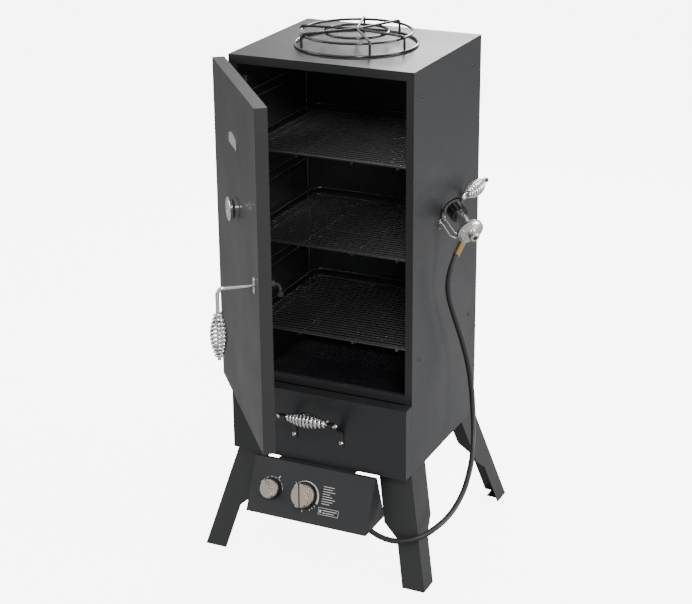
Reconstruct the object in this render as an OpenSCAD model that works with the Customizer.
// Vertical gas smoker cabinet on four splayed legs.
// Origin: on the floor, centred under the whole object. +X to its right, +Y to its back, +Z up.
// Each sub-part is drawn in the cabinet's frame: x = 0 on the centre plane, y = 0 on the face
// frame's front, z = 0 under the cabinet. at_cabinet() carries it to the origin above.

/* [Cabinet] */
// Width of the cabinet
cab_w = 406; // [340:1:490]
// Depth of the cabinet, front to back
cab_d = 362; // [330:1:440]
// Height of the cabinet without its legs
cab_h = 864; // [780:1:1040]
// Thickness of the sheet steel
sheet_t = 1.2; // [0.9:0.1:1.5]
// Width of the face frame's stiles
stile_w = 16; // [14:1:20]
// Height of the face frame's top rail
top_rail_h = 18; // [14:1:24]
// Height of the rail between the drawer and the door
mid_rail_h = 19; // [14:1:24]
// Height of the face frame's bottom rail, under the drawer
low_rail_h = 12; // [8:1:16]
// Depth of the flanges turned in on the panels
flange_d = 11; // [8:1:14]
// Radial gap between a screw's shank and its hole
screw_gap = 0.25; // [0.1:0.05:0.4]

/* [Legs] */
// Height of the legs, floor to the cabinet's underside
leg_h = 232; // [190:1:280]
// How far a foot stands out past the cabinet's side
splay_x = 58.7; // [30:0.1:75]
// How far a foot stands out past the cabinet's front or back
splay_y = 67; // [40:0.5:80]
// Width of a leg's face at the top
leg_top_w = 75; // [60:1:90]
// Width of a leg's face at the foot
leg_foot_w = 49; // [36:1:58]
// Thickness of the leg's steel
leg_t = 2; // [1.5:0.1:3]
// Radius of a leg bolt's shank
leg_bolt_r = 3; // [2.5:0.5:3.5]

/* [Door] */
// How far the door is open in the rest pose, in degrees
door_ajar = 50.5; // [5:0.5:60]
// Depth of the door pan
door_t = 25; // [18:1:32]
// How far the door laps over each side of the cabinet
door_lap = 4; // [2:0.5:5]
// Gap between the closed door and the face frame
door_gap = 1; // [0.5:0.1:2]
// Gap under the door, above the drawer
door_under = 4; // [2:0.5:8]
// How far the door's top edge is below the cabinet's top
door_over = 6; // [3:0.5:10]
// Radius of the hinge knuckles
knuckle_r = 4.5; // [4:0.1:5]
// Radius of the hinge pins
hinge_pin_r = 2.5; // [2:0.1:2.8]
// Length of a hinge
hinge_l = 50; // [40:1:70]
// Distance of each hinge's middle from the door's end
hinge_inset = 70; // [50:1:120]
// Radial running gap of pins, shafts and spindles
run_gap = 0.06; // [0.03:0.01:0.1]

/* [Latch] */
// Height of the latch above the door's bottom edge
latch_up = 338; // [250:1:400]
// Distance of the latch from the door's free edge
latch_in = 40; // [34:1:60]
// Radius of the latch rod
latch_rod_r = 4; // [3:0.5:5]
// How far the latch rod stands out from the door
latch_out = 72; // [50:1:90]
// How far the latch tongue reaches behind the door's inner face
tongue_in = 24; // [21:0.5:26]
// Length of the latch tongue
tongue_l = 21; // [18:0.5:26]

/* [Thermometer and badge] */
// Height of the thermometer above the latch
gauge_up = 100; // [70:1:140]
// Radius of the thermometer's dial
gauge_r = 24; // [18:0.5:30]
// How far the thermometer's face stands off the door
gauge_out = 16; // [10:1:22]
// Width of the blank badge
badge_w = 74; // [50:1:100]
// Height of the blank badge
badge_h = 26; // [16:1:40]

/* [Handles] */
// Length of a coil grip
grip_l = 96; // [70:1:110]
// Largest radius of a coil grip
grip_r = 17.5; // [14:0.5:20]
// Radius of a coil grip's ends
grip_end_r = 8; // [7:0.5:10]
// Radius of the rod through a handle's grip
handle_rod_r = 3.5; // [3:0.25:4.5]
// How far a grip's axis stands out from the panel
handle_out = 50; // [42:1:60]
// How far a handle's screws are below its straps' bends
foot_drop = 12; // [9:1:20]
// Width of a handle's strap
strap_w = 13; // [10:1:16]
// Thickness of a handle's strap
strap_t = 2.5; // [2:0.1:3]
// Height of the side handles' grips above the cabinet's underside
side_handle_z = 578; // [450:1:640]
// Height of the drawer handle's grip above the cabinet's underside
drawer_handle_z = 123; // [105:1:126]

/* [Racks] */
// Diameter of the rack guides' wire
guide_d = 4; // [3:0.5:5]
// Height of the lowest rack level above the cabinet's underside
rack_low = 277; // [270:1:300]
// Height from one rack level to the next
rack_step = 97.25; // [88:0.25:115]
// Gap from a level's lower wire to its upper wire, centre to centre
guide_pair = 19.5; // [15:0.5:24]
// Diameter of a grate's thin rods
grate_rod_d = 3.5; // [3:0.25:4]
// Diameter of a grate's heavy rods
grate_bar_d = 5.5; // [4.5:0.25:6]
// Number of thin rods in a grate
grate_rods = 25; // [12:1:28]
// Gap between a grate's side and the face frame's opening
grate_side_gap = 3.5; // [2.5:0.5:5]

/* [Drawer] */
// Height of the drawer front
drawer_h = 160; // [155:1:161]
// Depth of the drawer front's pan
drawer_t = 30; // [20:1:34]
// Height of the drawer's side plates above the cabinet's underside
tray_low = 56; // [52:1:60]
// Top of the drawer's side plates
tray_top = 148; // [144:1:150]
// Depth of the water pan
pan_deep = 36; // [24:1:38]
// Length of the water pan, front to back
pan_l = 226; // [160:1:250]
// Depth of the chip tray
chip_deep = 34; // [24:1:36]
// Width of the chip tray
chip_w = 220; // [150:1:250]
// Length of the chip tray, front to back
chip_l = 150; // [110:1:170]

/* [Gas controls] */
// Width of the control panel
panel_w = 282; // [240:1:290]
// Height of the control panel
panel_h = 109; // [100:1:120]
// How far the panel's face leans forward from its top to its bottom
panel_lean = 52; // [40:1:60]
// How far the panel's top edge is in front of the face frame
panel_front = 46; // [40:1:52]
// Thickness of the panel's steel
panel_t = 1.5; // [1.2:0.1:2]
// Distance of the gas knob from the cabinet's centre plane
gas_x = -12; // [-20:1:0]
// Distance of the igniter knob from the cabinet's centre plane
igniter_x = -91; // [-100:1:-80]
// Radius of the gas knob
gas_knob_r = 26; // [22:0.5:28]
// Radius of the igniter knob
igniter_knob_r = 21; // [18:0.5:23]
// Radius of the burner head
burner_r = 62; // [45:1:75]
// Height of the burner head's top above the cabinet's underside
burner_top = 44; // [38:1:48]

/* [Top rack] */
// Radius of the top rack's lower ring
ring_low_r = 126; // [100:1:140]
// Radius of the top rack's upper ring
ring_up_r = 115; // [90:1:125]
// Radius of the top rack's inner ring
ring_in_r = 66; // [40:1:80]
// Diameter of the top rack's wire
ring_d = 5.5; // [4:0.5:6]
// Height of the top rack
ring_h = 34; // [26:1:50]
// Angle between the two spokes of a hairpin
spoke_pair = 40; // [24:1:60]

/* [Regulator] */
// Height of the regulator nut's centre above the cabinet's underside
reg_z = 535; // [520:1:545]
// Distance of the regulator nut's centre behind the face frame
reg_y = 170; // [166:1:176]
// Distance of the regulator nut's centre from the side panel
reg_off = 27; // [26:0.5:32]
// Turn of the regulator's axis towards the front, in degrees
reg_yaw = 39.7; // [34:0.1:44]
// Dip of the regulator's axis, in degrees
reg_dip = 23.5; // [20:0.1:28]
// Radius of the regulator's diaphragm case
reg_case_r = 28.5; // [24:0.5:30]
// Radius of the thread in the connector nut
nut_bore_r = 16.5; // [15:0.1:17]
// Radius of the gas hose
hose_r = 6; // [5:0.5:7]

/* [Hidden] */
$fn = 48;

// Colours
BLACK = [0.10, 0.10, 0.11];
SATIN = [0.20, 0.20, 0.21];
CHROME = [0.82, 0.83, 0.85];
NICKEL = [0.66, 0.63, 0.58];
ZINC = [0.70, 0.70, 0.68];
BRASS = [0.80, 0.62, 0.28];
IRON = [0.16, 0.15, 0.15];
RUBBER = [0.07, 0.07, 0.07];
PLASTIC = [0.05, 0.05, 0.05];
WHITE = [0.92, 0.92, 0.90];
ENAMEL = [0.13, 0.13, 0.15];

// Where the cabinet stands over the origin
front_y = -32.5;
eps = 0.01;
cut = 1;

// Cabinet
half_w = cab_w / 2;
in_x = half_w - sheet_t;
open_x = half_w - stile_w;
drawer_open_top = drawer_h + 2;
door_open_low = drawer_open_top + mid_rail_h;
door_open_high = cab_h - top_rail_h;
lip_d = 9;
screw_r = 2.5;
screw_head_r = 4.6;
screw_head_h = 2.2;

// Rack guides
guide_r = guide_d / 2;
grate_half = open_x - grate_side_gap;
guide_x = grate_half - 1;
post_x = guide_x + guide_d - 0.5;
post_y = [40, cab_d - 45];
guide_front = 33;
guide_back = cab_d - sheet_t - 16;
guide_bend = 25;
post_foot = rack_low - 32;
rack_top_room = 65;
rack_levels = floor((cab_h - rack_top_room - rack_low) / rack_step) + 1;
rack_rod_z = [for (i = [0 : rack_levels - 1]) rack_low + i * rack_step];
post_head = rack_rod_z[rack_levels - 1] + guide_pair + 30;
boss_z = [post_foot + 5, post_head - 5];
boss_r = 4.5;

// Legs
leg_bolts_at = [[24, 46], [46, 24]];
leg_flange_w = 66;
foot_w = 34;

// Door: closed, it spans door_x either side; hinge_at is the pins' axis
door_x = half_w + door_lap;
door_low = drawer_open_top + door_under;
door_high = cab_h - door_over;
door_face = -door_gap - door_t;
leaf_t = 1.5;
hinge_at = [-(half_w + leaf_t + knuckle_r - 0.8), 5.2];
hinge_z = [door_low + hinge_inset, door_high - hinge_inset];
knuckle_gap = 0.4;
latch_x = door_x - latch_in;
latch_z = door_low + latch_up;
latch_bend = 12;
latch_grip_top = 46;
latch_hole_r = latch_rod_r + run_gap;
gauge_z = latch_z + gauge_up;
badge_z = (gauge_z + gauge_r + door_high) / 2;
gauge_base_r = gauge_r - 6;
tip_r = 5.5;

// Handles
grip_gap = 0.5;
strap_x = grip_l / 2 + grip_gap + strap_w / 2;
eye_r = handle_rod_r + strap_t;
strap_foot_z = -handle_out - eye_r + 3.5;
handle_drop = handle_out + foot_drop;
side_handle_y = cab_d / 2 + 27;

// Drawer
tray_x = open_x - 7;
tray_back = cab_d - 34;
tray_ledge = 9;
slide_gap = 0.4;
pan_front = 34;
pan_x = tray_x - tray_ledge / 2;
pan_rim_t = 1.2;
chip_bar_z = tray_low + 2;
chip_y = cab_d / 2;

// Gas controls
panel_lift = sheet_t;
panel_tilt = atan(panel_lean / panel_h);
panel_side_back = 8;
knob_s = 0.53;
knob_y = -panel_front - panel_lean * knob_s;
knob_z = -panel_h * knob_s;
knob_turn = 90 - panel_tilt;
bezel_t = 2.5;
knob_h = 22;
spindle_r = 4;
spindle_l = 14;
push_l = 4;
valve_d = 38;
tube_r = 11;
tube_bend = 34;
tube_z = -70;
burner_y = cab_d / 2;
air_r = burner_r + 24;

// Hose: its route in the cabinet's frame at the sizes above, chosen by hand, round numbers
hose_route = [
    [30, -50, -70], [44, -50, -72], [58, -50, -75], [72, -50.5, -80], [86, -51.5, -87], [101, -53, -96],
    [116, -55, -106], [132, -57, -115.5], [150, -59.5, -122.5], [171, -61, -126.5], [192, -60.5, -127],
    [213, -57, -124], [234, -49, -118], [251, -36, -111], [265, -16, -102], [276, 8, -93],
    [283, 35, -83], [286, 64, -71], [286, 95, -58], [283, 125, -41], [279, 152, -22],
    [274, 174, 0], [269, 190, 24], [264, 201, 50], [259, 208, 78], [255, 212, 108],
    [251, 213, 138], [248, 209, 168], [245, 201, 198], [242, 190, 228], [240, 176, 258],
    [238, 160, 288], [236, 144, 318], [234, 129, 348], [233, 119, 376], [234, 115, 402],
    [237, 118, 424], [241, 125, 444], [246, 134, 462]
];
hose_sides = 10;
hose_rings = 76;

// Regulator: t runs along its axis from the nut's centre, towards the vent cap
reg_at = [half_w + reg_off, reg_y, reg_z];
nut_half = 12;
thread_l = 10;
neck_r = 11;
case_t = [57, 64];
cap_t = [70, 84];
ferrule_r = 7.5;
outlet_share = 0.5;
reg_axis = [cos(reg_dip) * cos(reg_yaw), -cos(reg_dip) * sin(reg_yaw), -sin(reg_dip)];
outlet_from = reg_at + reg_axis * 54;
hose_end = hose_route[len(hose_route) - 1];

module at_cabinet() {
    translate([0, front_y, leg_h]) children();
}

module at_door() {
    at_cabinet()
        translate([hinge_at[0], hinge_at[1], 0])
            rotate([0, 0, -door_ajar])
                translate([-hinge_at[0], -hinge_at[1], 0])
                    children();
}

// A box given by its lowest and highest corners
module span(low, high) {
    translate(low) cube(high - low);
}

// Cylinders along X, Y and Z, from one end to the other
module rod_x(x0, x1, y, z, r) {
    translate([x0, y, z]) rotate([0, 90, 0]) cylinder(h = x1 - x0, r = r);
}
module rod_y(y0, y1, x, z, r) {
    translate([x, y1, z]) rotate([90, 0, 0]) cylinder(h = y1 - y0, r = r);
}
module rod_z(z0, z1, x, y, r) {
    translate([x, y, z0]) cylinder(h = z1 - z0, r = r);
}

// A round wire from a to b, with a ball at b where the next one starts
module wire(a, b, r) {
    d = b - a;
    l = norm(d);
    translate(a)
        rotate([0, acos(d[2] / l), atan2(d[1], d[0])])
            cylinder(h = l, r = r);
    translate(b) sphere(r = r * 1.08);
}

// A plain round rod from a to b
module rod(a, b, r) {
    d = b - a;
    translate(a)
        rotate([0, acos(d[2] / norm(d)), atan2(d[1], d[0])])
            cylinder(h = norm(d), r = r);
}

// A quarter ring about Z, centre at the origin, from angle a to a + 90
module quarter_ring(ring, r, a) {
    rotate([0, 0, a])
        rotate_extrude(angle = 90) translate([ring, 0]) circle(r = r);
}

// A screw whose head stands at z = 0 to screw_head_h and whose shank runs down from it
module screw(l) {
    cylinder(h = screw_head_h, r1 = screw_head_r, r2 = screw_head_r * 0.72);
    translate([0, 0, -l]) cylinder(h = l, r = screw_r);
}
module screw_hole() {
    cylinder(h = 12, r = screw_r + screw_gap, center = true);
}

// Where screws go through a side panel, as [y, z] of the cabinet's frame
guide_screws_at = [for (y = post_y, z = boss_z) [y, z]];
handle_feet_at = [for (s = [-1, 1]) [side_handle_y + s * strap_x, side_handle_z - handle_drop]];
hinge_screws_at = [for (z = hinge_z, s = [-1, 1]) [26, z + s * hinge_l / 4]];
hook_y = reg_y - 17;
hook_z = reg_z - 19;
hook_half = 11.5;
hook_screw_drop = 6.5;
hook_screws_at = [for (s = [-1, 1]) [hook_y + s * hook_half, hook_z - hook_screw_drop]];

// --- Cabinet shell ---

module side_panel(holes) {
    color(SATIN) difference() {
        union() {
            span([in_x, sheet_t, 0], [half_w, cab_d - sheet_t, cab_h - sheet_t]);
            span([in_x - flange_d, cab_d - 2 * sheet_t, sheet_t], [in_x + eps, cab_d - sheet_t, cab_h - 16]);
        }
        for (h = holes)
            translate([half_w, h[0], h[1]]) rotate([0, 90, 0]) screw_hole();
    }
}

module right_side_panel() {
    at_cabinet() side_panel(concat(guide_screws_at, handle_feet_at, hook_screws_at));
}

module left_side_panel() {
    at_cabinet() mirror([1, 0, 0]) side_panel(concat(guide_screws_at, handle_feet_at, hinge_screws_at));
}

// The smoke leaves through a row of slots near the back's top edge
module back_panel() {
    slot_w = 7;
    slot_h = 40;
    slots = 7;
    at_cabinet() color(SATIN) difference() {
        span([-half_w, cab_d - sheet_t, 0], [half_w, cab_d, cab_h - sheet_t]);
        for (i = [0 : slots - 1])
            translate([(i - (slots - 1) / 2) * 20, cab_d, cab_h - 60]) rotate([90, 0, 0]) {
                translate([-slot_w / 2, -slot_h / 2, -cut]) cube([slot_w, slot_h, sheet_t + 2 * cut]);
                for (s = [-1, 1]) translate([0, s * slot_h / 2, -cut]) cylinder(h = sheet_t + 2 * cut, r = slot_w / 2);
            }
    }
}

module top_panel() {
    inset = sheet_t + 0.2;
    low = cab_h - flange_d;
    at_cabinet() color(SATIN) {
        span([-half_w, 0, cab_h - sheet_t], [half_w, cab_d, cab_h]);
        difference() {
            span([-half_w + inset, inset, low], [half_w - inset, cab_d - inset, cab_h - sheet_t + eps]);
            span([-half_w + inset + sheet_t, inset + sheet_t, low - cut],
                 [half_w - inset - sheet_t, cab_d - inset - sheet_t, cab_h]);
        }
    }
}

module bottom_panel() {
    at_cabinet() color(SATIN) difference() {
        union() {
            span([-in_x, sheet_t, 0], [in_x, cab_d - sheet_t, sheet_t]);
            for (s = [-1, 1])
                span([s * (in_x - sheet_t / 2) - sheet_t / 2, sheet_t, 0],
                     [s * (in_x - sheet_t / 2) + sheet_t / 2, cab_d - 2 * sheet_t, flange_d]);
        }
        difference() {
            translate([gas_x, burner_y, -cut]) cylinder(h = 3 * cut, r = air_r);
            span([gas_x - 16, 0, -2 * cut], [gas_x + 16, cab_d, 4 * cut]);
        }
        translate([gas_x, burner_y, -cut]) cylinder(h = 3 * cut, r = tube_r + 1);
        leg_places() for (p = leg_bolts_at) translate([p[0], p[1], 0]) cylinder(h = 8, r = leg_bolt_r + screw_gap, center = true);
        for (s = [-1, 1]) translate([s * panel_tab_x, panel_tab_y, 0]) screw_hole();
    }
}

module front_frame() {
    at_cabinet() color(BLACK) difference() {
        union() {
            span([-half_w, 0, 0], [half_w, sheet_t, cab_h - sheet_t]);
            span([-open_x - sheet_t, 0, door_open_low - sheet_t], [open_x + sheet_t, lip_d, door_open_high + sheet_t]);
        }
        span([-open_x, -cut, low_rail_h], [open_x, sheet_t + cut, drawer_open_top]);
        span([-open_x, -cut, door_open_low], [open_x, lip_d + cut, door_open_high]);
    }
}

// --- Inside the cabinet ---

// One guide wire: front to back along both sides, round behind the grates
module guide_wire(z) {
    for (s = [-1, 1]) {
        rod_y(guide_front, guide_back - guide_bend, s * guide_x, z, guide_r);
        translate([s * guide_x, guide_front, z]) sphere(r = guide_r);
    }
    for (s = [0, 1]) mirror([s, 0, 0])
        translate([guide_x - guide_bend, guide_back - guide_bend, z]) quarter_ring(guide_bend, guide_r, 0);
    rod_x(-guide_x + guide_bend, guide_x - guide_bend, guide_back, z, guide_r);
}

module rack_guides() {
    at_cabinet() color(IRON) {
        for (z = rack_rod_z) {
            low = z - grate_rod_d / 2 - guide_r;
            guide_wire(low);
            guide_wire(low + guide_pair);
        }
        for (s = [-1, 1], y = post_y) rod_z(post_foot, post_head, s * post_x, y, guide_r);
        difference() {
            for (s = [0, 1], y = post_y, z = boss_z) mirror([s, 0, 0])
                rod_x(post_x, in_x, y, z, boss_r);
            for (s = [0, 1], y = post_y, z = boss_z) mirror([s, 0, 0])
                rod_x(in_x - 11, in_x + cut, y, z, screw_r);
        }
    }
}

// A grate: thin rods side to side, welded on three heavy cross bars and two heavy edge bars
module grate(z) {
    rod_r = grate_rod_d / 2;
    bar_r = grate_bar_d / 2;
    front = 15;
    back = guide_back - guide_r - 6;
    weld = 0.6;
    pitch = (back - front) / (grate_rods + 1);
    cross_z = z - rod_r - bar_r + weld;
    edge_z = z - rod_r + bar_r;
    at_cabinet() color(IRON) {
        for (i = [1 : grate_rods]) rod_x(-grate_half, grate_half, front + i * pitch, z, rod_r);
        for (y = [front, back]) rod_x(-grate_half + 1, grate_half - 1, y, edge_z, bar_r);
        for (x = [-1, -0.38, 0.38, 1] * (grate_half - 22)) rod_y(front, back, x, cross_z, bar_r);
    }
}

module lower_grate() { grate(rack_rod_z[0]); }
module middle_grate() { grate(rack_rod_z[2]); }
module upper_grate() { grate(rack_rod_z[4]); }

module drawer_runners() {
    at_cabinet() color(SATIN) for (s = [0, 1]) mirror([s, 0, 0]) {
        span([tray_x - 6, lip_d + 4, tray_low - slide_gap - 1.5], [in_x, cab_d - 30, tray_low - slide_gap]);
        span([in_x - 1.5, lip_d + 4, tray_low - 22], [in_x, cab_d - 30, tray_low - slide_gap]);
        span([tray_x + 1.5, lip_d + 4, tray_low - slide_gap - 1.5], [tray_x + 3, cab_d - 30, tray_low + 12]);
    }
}

// Every screw in the cabinet's own panels
module cabinet_screws() {
    at_cabinet() color(CHROME) {
        for (s = [0, 1]) mirror([s, 0, 0]) {
            for (p = guide_screws_at) translate([half_w, p[0], p[1]]) rotate([0, 90, 0]) screw(10);
            for (p = handle_feet_at) translate([half_w + strap_t, p[0], p[1]]) rotate([0, 90, 0]) screw(10);
        }
        for (p = hook_screws_at) translate([half_w + hook_plate_t, p[0], p[1]]) rotate([0, 90, 0]) screw(8);
        for (p = hinge_screws_at) translate([-half_w - leaf_t, p[0], p[1]]) rotate([0, -90, 0]) screw(8);
        for (s = [-1, 1]) translate([s * panel_tab_x, panel_tab_y, -panel_t]) rotate([180, 0, 0]) screw(8);
    }
}

// --- Legs ---

// Children placed at each of the cabinet's four lower corners, x and y running inwards
module leg_places() {
    for (sx = [0, 1], sy = [0, 1])
        translate([(1 - 2 * sx) * half_w, sy * cab_d, 0]) mirror([1 - sx, 0, 0]) mirror([0, sy, 0]) children();
}

// One face of a leg, as an outline: its sloping outer edge, then the inner edge with its long chamfer
module leg_face(out, h) {
    wide = 0.45;
    narrow = 0.57;
    polygon([
        [0, 0], [-out, -h], [-out + leg_foot_w, -h],
        [-out * narrow + leg_foot_w, -h * narrow], [-out * wide + leg_top_w, -h * wide], [leg_top_w, 0]
    ]);
}

// A leg at a corner: x and y run inwards, the leg hangs down and splays outwards
module leg() {
    slope_x = atan(splay_x / leg_h);
    slope_y = atan(splay_y / leg_h);
    color(BLACK) difference() {
        union() {
            intersection() {
                union() {
                    rotate([90 - slope_y, 0, 0]) translate([0, 0, -leg_t])
                        linear_extrude(leg_t) leg_face(splay_x, leg_h / cos(slope_y) + 4);
                    rotate([0, -90 + slope_x, 0]) rotate([0, 0, -90]) mirror([1, 0, 0])
                        translate([0, 0, -leg_t]) linear_extrude(leg_t) leg_face(splay_y, leg_h / cos(slope_x) + 4);
                }
                span([-200, -200, -leg_h], [200, 200, 0]);
            }
            span([0, 0, -leg_t], [leg_flange_w, leg_flange_w, 0]);
            span([-splay_x, -splay_y, -leg_h], [-splay_x + foot_w, -splay_y + foot_w, -leg_h + leg_t]);
        }
        for (p = leg_bolts_at) translate([p[0], p[1], 0]) cylinder(h = 3 * leg_t, r = leg_bolt_r + screw_gap, center = true);
    }
}

module leg_at(sx, sy) {
    at_cabinet()
        translate([sx * half_w, sy * cab_d, 0]) mirror([sx > 0 ? 1 : 0, 0, 0]) mirror([0, sy, 0]) leg();
}

module front_left_leg() { leg_at(-1, 0); }
module front_right_leg() { leg_at(1, 0); }
module back_left_leg() { leg_at(-1, 1); }
module back_right_leg() { leg_at(1, 1); }

module leg_bolts() {
    at_cabinet() color(CHROME) leg_places() for (p = leg_bolts_at) translate([p[0], p[1], 0]) {
        translate([0, 0, -leg_t - 3]) cylinder(h = 3, r = leg_bolt_r * 1.8);
        translate([0, 0, -leg_t - 1]) cylinder(h = leg_t + sheet_t + 7, r = leg_bolt_r);
        translate([0, 0, sheet_t]) cylinder(h = 4, r = leg_bolt_r * 1.75, $fn = 6);
    }
}

// --- Hinges and door ---

module cabinet_hinge_leaves() {
    x = -half_w;
    at_cabinet() color(SATIN) for (z = hinge_z) difference() {
        union() {
            span([x - leaf_t, hinge_at[1] + knuckle_r + 0.8, z - hinge_l / 2], [x, post_y[0] - screw_head_r - 0.8, z + hinge_l / 2]);
            span([x - leaf_t, hinge_at[1], z - hinge_l / 2], [x, hinge_at[1] + knuckle_r + 0.9, z - knuckle_gap]);
            rod_z(z - hinge_l / 2, z - knuckle_gap, hinge_at[0], hinge_at[1], knuckle_r);
            rod_z(z - hinge_l / 2, z + hinge_l / 2 - 2, hinge_at[0], hinge_at[1], hinge_pin_r);
        }
        for (s = [-1, 1]) translate([x, 26, z + s * hinge_l / 4]) rotate([0, 90, 0]) screw_hole();
    }
}

module door_hinge_leaves() {
    at_door() color(SATIN) for (z = hinge_z) difference() {
        union() {
            span([-door_x - leaf_t, door_face + 2, z - hinge_l / 2], [-door_x, hinge_at[1] - knuckle_r - 0.9, z + hinge_l / 2]);
            span([-door_x - leaf_t, hinge_at[1] - knuckle_r - 1, z + knuckle_gap], [-door_x, hinge_at[1], z + hinge_l / 2]);
            rod_z(z + knuckle_gap, z + hinge_l / 2, hinge_at[0], hinge_at[1], knuckle_r);
        }
        rod_z(z - hinge_l, z + hinge_l, hinge_at[0], hinge_at[1], hinge_pin_r + run_gap);
    }
}

// The holes that the latch shaft and the thermometer's stem pass through
module door_holes(r_latch, r_stem) {
    rod_y(door_face - cut, cut, latch_x, latch_z, r_latch);
    rod_y(door_face - cut, cut, 0, gauge_z, r_stem);
}

module door_pan() {
    at_door() color(SATIN) difference() {
        span([-door_x, door_face, door_low], [door_x, -door_gap, door_high]);
        span([-door_x + sheet_t, door_face + sheet_t, door_low + sheet_t], [door_x - sheet_t, cut, door_high - sheet_t]);
        door_holes(latch_hole_r, stem_r + screw_gap);
    }
}

module door_liner() {
    inset = sheet_t + 0.15;
    at_door() color(BLACK) difference() {
        span([-door_x + inset, -door_gap - 1.5 - sheet_t, door_low + inset], [door_x - inset, -door_gap - 1.5, door_high - inset]);
        door_holes(latch_hole_r, stem_r + screw_gap);
    }
}

// A plain badge: a shallow arched plate on the door, with nothing written on it
module name_badge() {
    t = 2.5;
    at_door() color(CHROME) translate([0, door_face, badge_z]) rotate([90, 0, 0]) linear_extrude(t)
        intersection() {
            translate([-badge_w / 2, -badge_h / 2]) square([badge_w, badge_h]);
            translate([0, -badge_w]) circle(r = badge_w + badge_h / 2, $fn = 96);
        }
}

stem_r = 3;
stem_in = 30;
rim_t = 3;
lens_t = 2;

module at_gauge() {
    at_door() translate([0, door_face, gauge_z]) rotate([90, 0, 0]) children();
}

// Case, bezel, threaded stem and nut of the thermometer: one brazed piece. Local Z points out of the door.
module thermometer_case() {
    at_gauge() color(CHROME) {
        rotate_extrude() polygon([
            [0, 0], [gauge_base_r, 0], [gauge_base_r, 4], [gauge_r - 1, gauge_out - 7], [gauge_r, gauge_out - 6],
            [gauge_r, gauge_out - 1], [gauge_r - 1, gauge_out], [gauge_r - rim_t, gauge_out],
            [gauge_r - rim_t, gauge_out - 6], [0, gauge_out - 6]
        ]);
        translate([0, 0, -door_t - stem_in]) cylinder(h = door_t + stem_in + eps, r = stem_r);
        translate([0, 0, -door_t - 2.5]) cylinder(h = 4, r = 7, $fn = 6);
    }
}

module thermometer_dial() {
    at_gauge() color(WHITE) translate([0, 0, gauge_out - 6]) difference() {
        cylinder(h = 0.6, r = gauge_r - rim_t);
        translate([0, 0, -cut]) cylinder(h = 3, r = 1.2);
    }
}

module thermometer_needle() {
    at_gauge() color("red") translate([0, 0, gauge_out - 4.9]) {
        rotate([0, 0, 225]) translate([-5, -0.9, 0]) cube([gauge_r - rim_t + 1, 1.8, 0.6]);
        cylinder(h = 1.2, r = 2.4);
    }
}

module thermometer_lens() {
    at_gauge() color([0.8, 0.9, 0.95, 0.4]) translate([0, 0, gauge_out - 1 - lens_t])
        cylinder(h = lens_t, r = gauge_r - rim_t);
}

module latch_escutcheon() {
    t = 1.5;
    tall = 34;
    wide = 13;
    at_door() translate([latch_x, door_face, latch_z]) rotate([90, 0, 0]) color(CHROME) {
        difference() {
            linear_extrude(t) union() {
                translate([-wide / 2, -tall / 2 + wide / 2]) square([wide, tall - wide]);
                for (s = [-1, 1]) translate([0, s * (tall - wide) / 2]) circle(r = wide / 2);
            }
            translate([0, 0, -cut]) cylinder(h = 4, r = latch_rod_r + 0.5);
        }
        for (s = [-1, 1]) translate([0, s * 11.5, t - eps]) cylinder(h = 1.6, r1 = 3.2, r2 = 2.2);
    }
}

// Latch frame: origin where the shaft crosses the door's outer face, +Z up, -Y out of the door
module at_latch() {
    at_door() translate([latch_x, door_face, latch_z]) children();
}

latch_grip_z = -latch_grip_top - grip_l / 2;

module latch_rod() {
    inner = door_t + tongue_in;
    at_latch() color(CHROME) {
        rod_y(-latch_out + latch_bend, inner - 10, 0, 0, latch_rod_r);
        translate([0, -latch_out + latch_bend, -latch_bend]) rotate([90, 0, 90]) mirror([1, 0, 0])
            quarter_ring(latch_bend, latch_rod_r, 0);
        rod_z(latch_grip_z - grip_l / 2 - 3, -latch_bend, 0, -latch_out, latch_rod_r);
        rod_y(door_t + 0.5, door_t + 5, 0, 0, 8);
    }
}

// The tongue: an arm that curves down behind the door, with a round steel tip
module latch_tongue() {
    bend = 10;
    y = door_t + tongue_in;
    at_latch() {
        color(BLACK) difference() {
            union() {
                rod_y(door_t + 5.2, y - bend, 0, 0, latch_rod_r + 2);
                translate([0, y - bend, -bend]) rotate([0, -90, 0]) tongue_bend(bend);
                span([-3, y - 2.5, -tongue_l], [3, y + 2.5, -bend + eps]);
            }
            rod_y(door_t, y - 10, 0, 0, latch_rod_r);
        }
        color(CHROME) translate([-6, y, -tongue_l]) rotate([0, 90, 0]) cylinder(h = 12, r = tip_r);
    }
}
module tongue_bend(bend) {
    translate([0, 0, -3]) linear_extrude(6) intersection() {
        difference() {
            circle(r = bend + 2.5);
            circle(r = bend - 2.5);
        }
        square(3 * bend);
    }
}

// A coil grip as a closed barrel sleeve with one scallop for each turn. Its axis is Z, its middle at the origin.
module coil_grip(bore_r) {
    turns = 11;
    wire_r = grip_l / turns / 2;
    skin = 1.2;
    function barrel(u) = grip_end_r + (grip_r - grip_end_r) * sin(180 * u);
    function coil_z(u) = (u - 0.5) * grip_l;
    color(CHROME) rotate_extrude() {
        for (i = [0 : turns - 1])
            translate([max(barrel((i + 0.5) / turns) - wire_r, bore_r + wire_r + skin), coil_z((i + 0.5) / turns)])
                circle(r = wire_r, $fn = 24);
        polygon(concat(
            [for (i = [0 : 12]) [max(barrel(i / 12) - wire_r, bore_r + skin), coil_z(i / 12)]],
            [[bore_r, coil_z(1)], [bore_r, coil_z(0)]]
        ));
    }
}

module latch_coil_grip() {
    at_latch() translate([0, -latch_out, latch_grip_z]) coil_grip(latch_rod_r);
}

// --- Handles ---
// Handle frame: the grip's axis is X through the origin, -Y points away from the panel at y = handle_out

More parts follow.
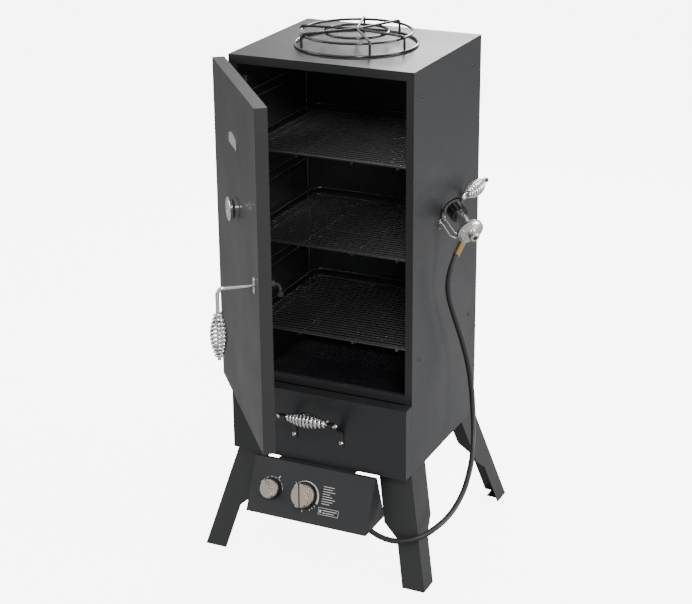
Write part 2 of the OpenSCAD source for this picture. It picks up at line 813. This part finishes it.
module handle_arms() {
    color(BLACK) for (s = [-1, 1]) translate([s * strap_x - strap_w / 2, 0, 0]) difference() {
        union() {
            translate([0, handle_out - strap_t, -handle_drop - 8]) cube([strap_w, strap_t, strap_foot_z + handle_drop + 8]);
            translate([0, 0, strap_foot_z]) rotate([90, 0, 90])
                rotate_extrude(angle = 93) translate([handle_out - strap_t, 0]) square([strap_t, strap_w]);
            rod_x(0, strap_w, 0, 0, eye_r);
        }
        rod_x(-cut, strap_w + cut, 0, 0, handle_rod_r + 0.05);
        translate([strap_w / 2, handle_out, -handle_drop]) rotate([90, 0, 0]) screw_hole();
    }
}

module handle_rod() {
    end = strap_x + strap_w / 2;
    color(CHROME) {
        rod_x(-end - 2, end + 2, 0, 0, handle_rod_r);
        for (s = [0, 1]) mirror([s, 0, 0]) {
            rod_x(end + 0.1, end + 4, 0, 0, eye_r);
            translate([end + 4, 0, 0]) sphere(r = eye_r - 1.2);
        }
    }
}

module handle_grip() {
    rotate([0, 90, 0]) coil_grip(handle_rod_r);
}

module at_side_handle(side) {
    at_cabinet() mirror([side < 0 ? 1 : 0, 0, 0])
        translate([half_w + handle_out, side_handle_y, side_handle_z]) rotate([0, 0, 90]) children();
}

module at_drawer_handle() {
    at_cabinet() translate([0, -drawer_t - handle_out, drawer_handle_z]) children();
}

module right_handle_arms() { at_side_handle(1) handle_arms(); }
module left_handle_arms() { at_side_handle(-1) handle_arms(); }
module side_handle_rods() { for (s = [-1, 1]) at_side_handle(s) handle_rod(); }
module right_coil_grip() { at_side_handle(1) handle_grip(); }
module left_coil_grip() { at_side_handle(-1) handle_grip(); }
module drawer_handle_arms() { at_drawer_handle() handle_arms(); }
module drawer_coil_grip() { at_drawer_handle() handle_grip(); }
// The drawer handle's rod, with the two screws that hold its arms
module drawer_handle_rod() {
    at_drawer_handle() handle_rod();
    at_cabinet() color(CHROME) for (s = [-1, 1])
        translate([s * strap_x, -drawer_t - strap_t, drawer_handle_z - handle_drop]) rotate([90, 0, 0]) screw(9);
}

// --- Drawer ---

module drawer_front() {
    low = 1.5;
    at_cabinet() color(BLACK) difference() {
        span([-half_w, -drawer_t, low], [half_w, -slide_gap, drawer_h]);
        span([-half_w + sheet_t, -drawer_t + sheet_t, low + sheet_t], [half_w - sheet_t, cut, drawer_h - sheet_t]);
        for (s = [-1, 1]) translate([s * strap_x, -drawer_t, drawer_handle_z - handle_drop]) rotate([90, 0, 0]) screw_hole();
    }
}

// The open frame that the two pans hang in: side plates with ledges, a back plate and two cross bars
module drawer_tray() {
    front = -drawer_t + sheet_t;
    at_cabinet() color(SATIN) {
        for (s = [0, 1]) mirror([s, 0, 0]) {
            span([tray_x - sheet_t, front, tray_low], [tray_x, tray_back, tray_top]);
            span([tray_x - tray_ledge, pan_front - 6, tray_top - sheet_t], [tray_x, tray_back, tray_top]);
        }
        span([-tray_x, tray_back - sheet_t, tray_low], [tray_x, tray_back, tray_top]);
        for (y = [-1, 1] * (chip_l / 2 - 12)) span([-tray_x, chip_y + y - 6, tray_low], [tray_x, chip_y + y + 6, chip_bar_z]);
    }
}

// A pressed rectangular pan with a flat rim all round
module pan(w, l, deep, wall, rim, z_rim) {
    difference() {
        union() {
            span([-w / 2, -l / 2, z_rim], [w / 2, l / 2, z_rim + wall]);
            span([-w / 2 + rim, -l / 2 + rim, z_rim - deep], [w / 2 - rim, l / 2 - rim, z_rim + wall]);
        }
        span([-w / 2 + rim + wall, -l / 2 + rim + wall, z_rim - deep + wall], [w / 2 - rim - wall, l / 2 - rim - wall, z_rim + cut + wall]);
    }
}

module water_pan() {
    at_cabinet() color(ENAMEL) translate([0, pan_front + pan_l / 2, 0])
        pan(2 * pan_x, pan_l, pan_deep, pan_rim_t, tray_ledge + 1, tray_top + 0.3);
}

module chip_tray() {
    at_cabinet() color(IRON) translate([0, chip_y, 0])
        pan(chip_w, chip_l, chip_deep, 2, 6, chip_bar_z + 0.3 + chip_deep);
}

// --- Gas controls ---

panel_tab_x = 60;
panel_tab_y = 30;

// The housing hangs under the cabinet's front: leaning face, wedge sides, a top plate bolted on, a lip below
module control_panel() {
    t = panel_t;
    tab_half = 90;
    back = panel_side_back;
    profile = [[-panel_front, 0], [-panel_front - panel_lean, -panel_h], [0, -panel_h], [-panel_front + back, 0]];
    at_cabinet() color(BLACK) difference() {
        union() {
            difference() {
                translate([-panel_w / 2, 0, 0]) rotate([90, 0, 90]) linear_extrude(panel_w) polygon(profile);
                translate([-panel_w / 2 + t, 0, 0]) rotate([90, 0, 90]) linear_extrude(panel_w - 2 * t)
                    translate([t / cos(panel_tilt) - t * tan(panel_tilt), -t]) polygon([
                        [-panel_front, 0], [-panel_front - panel_lean, -panel_h], [-panel_front - panel_lean, -2 * panel_h],
                        [60, -2 * panel_h], [60, 0]
                    ]);
            }
            span([-panel_w / 2, -panel_front - panel_lean, -panel_h], [panel_w / 2, -panel_front - panel_lean + 12, -panel_h + t]);
            span([-tab_half, -panel_front + back - 1, -t], [tab_half, panel_tab_y + 12, 0]);
        }
        at_panel(gas_x) cylinder(h = 12, r = valve_neck_r + 0.3, center = true);
        at_panel(igniter_x) cylinder(h = 12, r = valve_neck_r + 0.3, center = true);
        for (s = [-1, 1]) translate([s * panel_tab_x, panel_tab_y, 0]) screw_hole();
    }
}

valve_neck_r = 9;

// Panel frame: origin on the leaning face at height knob_z, local Z out of the face, X to the right
module at_panel(x) {
    translate([x, knob_y, knob_z]) rotate([knob_turn, 0, 0]) children();
}

module knob_bezels() {
    at_cabinet() color(PLASTIC) for (k = [[gas_x, gas_knob_r], [igniter_x, igniter_knob_r]])
        at_panel(k[0]) rotate_extrude() polygon([
            [valve_neck_r + 0.3, 0], [k[1] + 3, 0], [k[1] + 2, bezel_t], [valve_neck_r + 0.3, bezel_t]
        ]);
}

// Valve body behind the face: neck through the panel, block, side inlet for the hose, jet towards the tube
module gas_valve() {
    at_cabinet() color(BRASS) difference() {
        union() {
            at_panel(gas_x) {
                translate([0, 0, -22]) cylinder(h = 20.5 + bezel_t, r = valve_neck_r);
                translate([-14, -13, -22 - valve_d / 2]) cube([28, 26, valve_d / 2 + 8]);
            }
            rod_x(gas_x, 28, -50, -70, 7);
            rod_x(18, 30, -50, -70, 8.5);
            rod_y(-50, -24, gas_x, tube_z, 6);
        }
        at_panel(gas_x) translate([0, 0, -20]) cylinder(h = 40, r = spindle_r + run_gap);
    }
}

// The spindle slides in the valve when the knob is pushed; the knob turns on it
module valve_stem() {
    at_cabinet() at_panel(gas_x) color(BRASS) translate([0, 0, -20 + push_l + 0.5])
        cylinder(h = spindle_l + 22 - push_l, r = spindle_r);
}

// A knob with a grip bar: bars gives the middle of each ridge. Local Z points out of the face.
module knob(r, h, bars, bore_r) {
    base_z = bezel_t + push_l + 0.6;
    disc_h = 9;
    bar_w = 9;
    color(NICKEL) translate([0, 0, base_z]) difference() {
        union() {
            cylinder(h = disc_h - 1.5, r = r);
            translate([0, 0, disc_h - 1.5 - eps]) cylinder(h = 1.5, r1 = r, r2 = r - 1.5);
            intersection() {
                cylinder(h = h, r = r - 1);
                for (b = bars) translate([b - bar_w / 2, -r, disc_h - 2]) cube([bar_w, 2 * r, h - disc_h + 2]);
            }
        }
        translate([0, 0, -cut]) cylinder(h = 11 + cut, r = bore_r);
    }
}

module gas_knob() {
    at_cabinet() at_panel(gas_x) rotate([0, 0, 12]) knob(gas_knob_r, knob_h, [-6, 6], spindle_r + run_gap);
}

module igniter_knob() {
    at_cabinet() at_panel(igniter_x) rotate([0, 0, 38]) knob(igniter_knob_r, knob_h - 3, [0], spindle_r + run_gap);
}

module piezo_igniter() {
    at_cabinet() at_panel(igniter_x) color(PLASTIC) {
        translate([0, 0, -38]) cylinder(h = 36.5, r = 11);
        translate([0, 0, -38]) cylinder(h = 38 + bezel_t, r = valve_neck_r);
        cylinder(h = spindle_l + 3, r = spindle_r);
        translate([0, 0, -46]) cylinder(h = 9, r = 2.5);
    }
}

// The burner tube: from the valve's jet, back under the cabinet, up through the floor to the burner
module burner_tube() {
    end_y = burner_y - tube_bend;
    at_cabinet() color(IRON) difference() {
        union() {
            rod_y(-26, end_y, gas_x, tube_z, tube_r);
            rod_y(-30, -10, gas_x, tube_z, tube_r + 4);
            translate([gas_x, end_y, tube_z + tube_bend]) rotate([0, 90, 0])
                rotate_extrude(angle = 90) translate([tube_bend, 0]) circle(r = tube_r);
            rod_z(tube_z + tube_bend, 12, gas_x, burner_y, tube_r);
        }
        rod_y(-31, -11, gas_x, tube_z, tube_r + 1.5);
        rod_y(-12, end_y, gas_x, tube_z, tube_r - 2);
        rod_z(tube_z + tube_bend, 13, gas_x, burner_y, tube_r - 2);
    }
}

// A round cast-iron burner head on a short neck, with a ring of flame ports round its edge
module burner() {
    ports = 36;
    low = 22;
    at_cabinet() translate([gas_x, burner_y, 0]) color(IRON) difference() {
        rotate_extrude() polygon([
            [tube_r + 0.1, sheet_t], [tube_r + 9, sheet_t], [tube_r + 9, 5], [tube_r + 5, 8], [tube_r + 5, low - 2],
            [burner_r - 12, low], [burner_r, low + 6], [burner_r, burner_top - 6], [burner_r - 6, burner_top],
            [0, burner_top], [0, burner_top - 4], [burner_r - 8, burner_top - 4], [burner_r - 4, burner_top - 8],
            [burner_r - 4, low + 8], [burner_r - 13, low + 4], [tube_r + 0.1, low + 4]
        ]);
        for (i = [0 : ports - 1]) rotate([0, 0, i * 360 / ports])
            rod_x(burner_r - 6, burner_r + cut, 0, (low + burner_top) / 2, 1.5);
    }
}

electrode_x = gas_x - burner_r - 14;

module igniter_electrode() {
    at_cabinet() {
        color(WHITE) rod_z(-12, burner_top - 12, electrode_x, burner_y, 3.5);
        color(CHROME) {
            rod_z(burner_top - 12, burner_top - 6, electrode_x, burner_y, 1);
            wire([electrode_x, burner_y, burner_top - 6], [electrode_x + 9, burner_y, burner_top - 3], 1);
            rod_z(-18, -12, electrode_x, burner_y, 1.5);
        }
        color(SATIN) difference() {
            span([gas_x - air_r - 12, burner_y - 8, sheet_t], [electrode_x + 8, burner_y + 8, sheet_t + 1.5]);
            rod_z(-2, 10, electrode_x, burner_y, 3.5);
        }
    }
}

// The igniter's lead, clipped under the cabinet from the piezo unit to the electrode
module igniter_wire() {
    a = [igniter_x, knob_y + 46 * cos(panel_tilt), knob_z - 46 * sin(panel_tilt)];
    route = [
        a, [igniter_x, a[1] + 14, a[2] - 2], [igniter_x, a[1] + 30, a[2] + 14], [igniter_x, 34, -24],
        [igniter_x + 4, 60, -16], [electrode_x, burner_y - 16, -16], [electrode_x, burner_y - 3, -19], [electrode_x, burner_y, -16]
    ];
    at_cabinet() color(RUBBER) tube_along([for (i = [0 : 30]) smooth_point(route, i / 30)], 1.6, 6);
}

// --- Top rack ---

module ring(r, z) {
    translate([0, 0, z]) rotate_extrude($fn = 72) translate([r, 0]) circle(r = ring_d / 2);
}

module top_wire_rack() {
    wire_r = ring_d / 2;
    weld = 0.8;
    spoke_z = ring_h - wire_r;
    ring_z = spoke_z - ring_d + weld;
    leg_r = (ring_low_r + ring_up_r) / 2 + 0.6;
    bend = 6;
    hub_r = 7;
    at_cabinet() translate([0, cab_d / 2 - 3, cab_h + 0.3]) color(IRON) {
        ring(ring_low_r, wire_r);
        ring(ring_up_r, ring_z);
        ring(ring_in_r, ring_z);
        translate([0, 0, spoke_z - wire_r]) cylinder(h = ring_d, r = hub_r);
        for (c = [87, -33, -153], s = [-1, 1]) rotate([0, 0, c + s * spoke_pair / 2]) {
            rod_x(hub_r - 1, leg_r - bend, 0, spoke_z, wire_r - 0.1);
            translate([leg_r - bend, 0, spoke_z - bend]) rotate([90, 0, 0]) quarter_ring(bend, wire_r - 0.1, 0);
            rod_z(wire_r, spoke_z - bend, leg_r, 0, wire_r - 0.1);
        }
    }
}

// --- Regulator and hose ---

// Regulator frame: local Z runs along the regulator's axis, away from the panel
module at_regulator() {
    at_cabinet() translate(reg_at) rotate([0, 90 + reg_dip, -reg_yaw]) children();
}

hook_plate_t = 1.5;

// A chrome wire cradle on two small lugs: two prongs joined under the regulator's neck
module regulator_hook() {
    r = 1.5;
    x0 = half_w + hook_plate_t;
    z0 = hook_z;
    prong = [[x0, z0 + 4], [x0 + 22, z0 - 25], [x0 + 33, z0 - 29], [x0 + 47.5, z0 - 8.5]];
    at_cabinet() color(CHROME) {
        for (s = [-1, 1]) {
            y = hook_y + s * hook_half;
            for (i = [1 : len(prong) - 1])
                wire([prong[i - 1][0], y, prong[i - 1][1]], [prong[i][0], y, prong[i][1]], r);
            difference() {
                span([half_w, y - 5, z0 - 12], [x0, y + 5, z0 + 8]);
                translate([half_w, y, z0 - hook_screw_drop]) rotate([0, 90, 0]) screw_hole();
            }
        }
        rod_y(hook_y - hook_half, hook_y + hook_half, prong[3][0], prong[3][1], r);
    }
}

// Revolved body: inlet flange inside the nut, neck, diaphragm case, and the outlet boss for the hose
module regulator_body() {
    color(ZINC) {
        at_regulator() rotate_extrude() polygon([
            [3, -1.2], [11, -1.2], [11, 1.4], [7.9, 1.4], [7.9, nut_half + 0.4], [neck_r, nut_half + 0.4],
            [neck_r, 50], [neck_r + 6, 52], [reg_case_r - 2, case_t[0]], [reg_case_r, case_t[0] + 1],
            [reg_case_r, case_t[1] - 1], [reg_case_r - 2, case_t[1]], [reg_case_r - 5, case_t[1] + 2],
            [14, cap_t[0]], [3, cap_t[0]]
        ]);
        at_cabinet() rod(outlet_from, outlet_from + (hose_end - outlet_from) * outlet_share, ferrule_r + 1.5);
    }
}

module regulator_cap() {
    at_regulator() color(ZINC) rotate_extrude() polygon([
        [0, cap_t[0]], [10.5, cap_t[0]], [10.5, cap_t[1] - 1.5], [9, cap_t[1]], [0, cap_t[1]]
    ]);
}

// The black hand nut: ribbed outside, threaded inside, free to turn on the inlet
module connector_nut() {
    ribs = 12;
    r = 19.5;
    at_regulator() color(PLASTIC) difference() {
        union() {
            translate([0, 0, -nut_half]) cylinder(h = 2 * nut_half, r = r - 1.5);
            for (i = [0 : ribs - 1]) rotate([0, 0, i * 360 / ribs]) translate([r - 2.5, 0, -nut_half]) cylinder(h = 2 * nut_half - 3, r = 2.5, $fn = 16);
        }
        translate([0, 0, -nut_half - cut]) cylinder(h = thread_l + cut, r = nut_bore_r);
        translate([0, 0, -nut_half]) cylinder(h = nut_half + 1.7, r = 12.5);
        cylinder(h = nut_half + cut, r = 7.9 + run_gap);
    }
}

module hose_ferrule() {
    start = outlet_from + (hose_end - outlet_from) * (outlet_share + 0.001);
    at_cabinet() color(BRASS) difference() {
        rod(start, hose_end + unit(hose_end - outlet_from) * 8, ferrule_r);
        rod(hose_end, hose_end + unit(hose_end - outlet_from) * 9, hose_r + 0.3);
    }
}

// Directions along the route, and a frame that turns as little as it can from ring to ring
function unit(v) = v / norm(v);
function along(p, i) = unit(p[min(i + 1, len(p) - 1)] - p[max(i - 1, 0)]);
function side_of(d, up) = unit(cross(d, up));
function smooth_point(p, u) =
    let (n = len(p) - 1, i = min(floor(u * n), n - 1), f = u * n - i,
         a = p[max(i - 1, 0)], b = p[i], c = p[i + 1], d = p[min(i + 2, n)])
    0.5 * (2 * b + (c - a) * f + (2 * a - 5 * b + 4 * c - d) * f * f + (3 * b - a - 3 * c + d) * f * f * f);

module tube_along(points, r, sides) {
    n = len(points);
    up = [0.35, 0.2, 0.92];
    rings = [for (i = [0 : n - 1])
        let (d = along(points, i), a = side_of(d, up), b = cross(a, d))
        for (k = [0 : sides - 1]) points[i] + r * (cos(360 * k / sides) * a + sin(360 * k / sides) * b)];
    walls = [for (i = [0 : n - 2], k = [0 : sides - 1])
        let (q = (k + 1) % sides) [i * sides + k, i * sides + q, (i + 1) * sides + q, (i + 1) * sides + k]];
    ends = [[for (k = [sides - 1 : -1 : 0]) k], [for (k = [0 : sides - 1]) (n - 1) * sides + k]];
    polyhedron(points = rings, faces = concat(walls, ends), convexity = 6);
}

module gas_hose() {
    at_cabinet() color(RUBBER)
        tube_along([for (i = [0 : hose_rings - 1]) smooth_point(hose_route, i / (hose_rings - 1))], hose_r, hose_sides);
}

left_side_panel();
right_side_panel();
back_panel();
top_panel();
bottom_panel();
front_frame();
rack_guides();
cabinet_screws();
drawer_runners();
front_left_leg();
front_right_leg();
back_left_leg();
back_right_leg();
leg_bolts();
cabinet_hinge_leaves();
door_hinge_leaves();
door_pan();
door_liner();
name_badge();
thermometer_case();
thermometer_dial();
thermometer_lens();
thermometer_needle();
latch_escutcheon();
latch_rod();
latch_coil_grip();
latch_tongue();
right_handle_arms();
left_handle_arms();
side_handle_rods();
right_coil_grip();
left_coil_grip();
drawer_front();
drawer_tray();
drawer_handle_arms();
drawer_handle_rod();
drawer_coil_grip();
water_pan();
chip_tray();
lower_grate();
middle_grate();
upper_grate();
top_wire_rack();
control_panel();
knob_bezels();
gas_valve();
valve_stem();
gas_knob();
piezo_igniter();
igniter_knob();
igniter_electrode();
igniter_wire();
burner_tube();
burner();
regulator_hook();
gas_hose();
hose_ferrule();
regulator_body();
regulator_cap();
connector_nut();
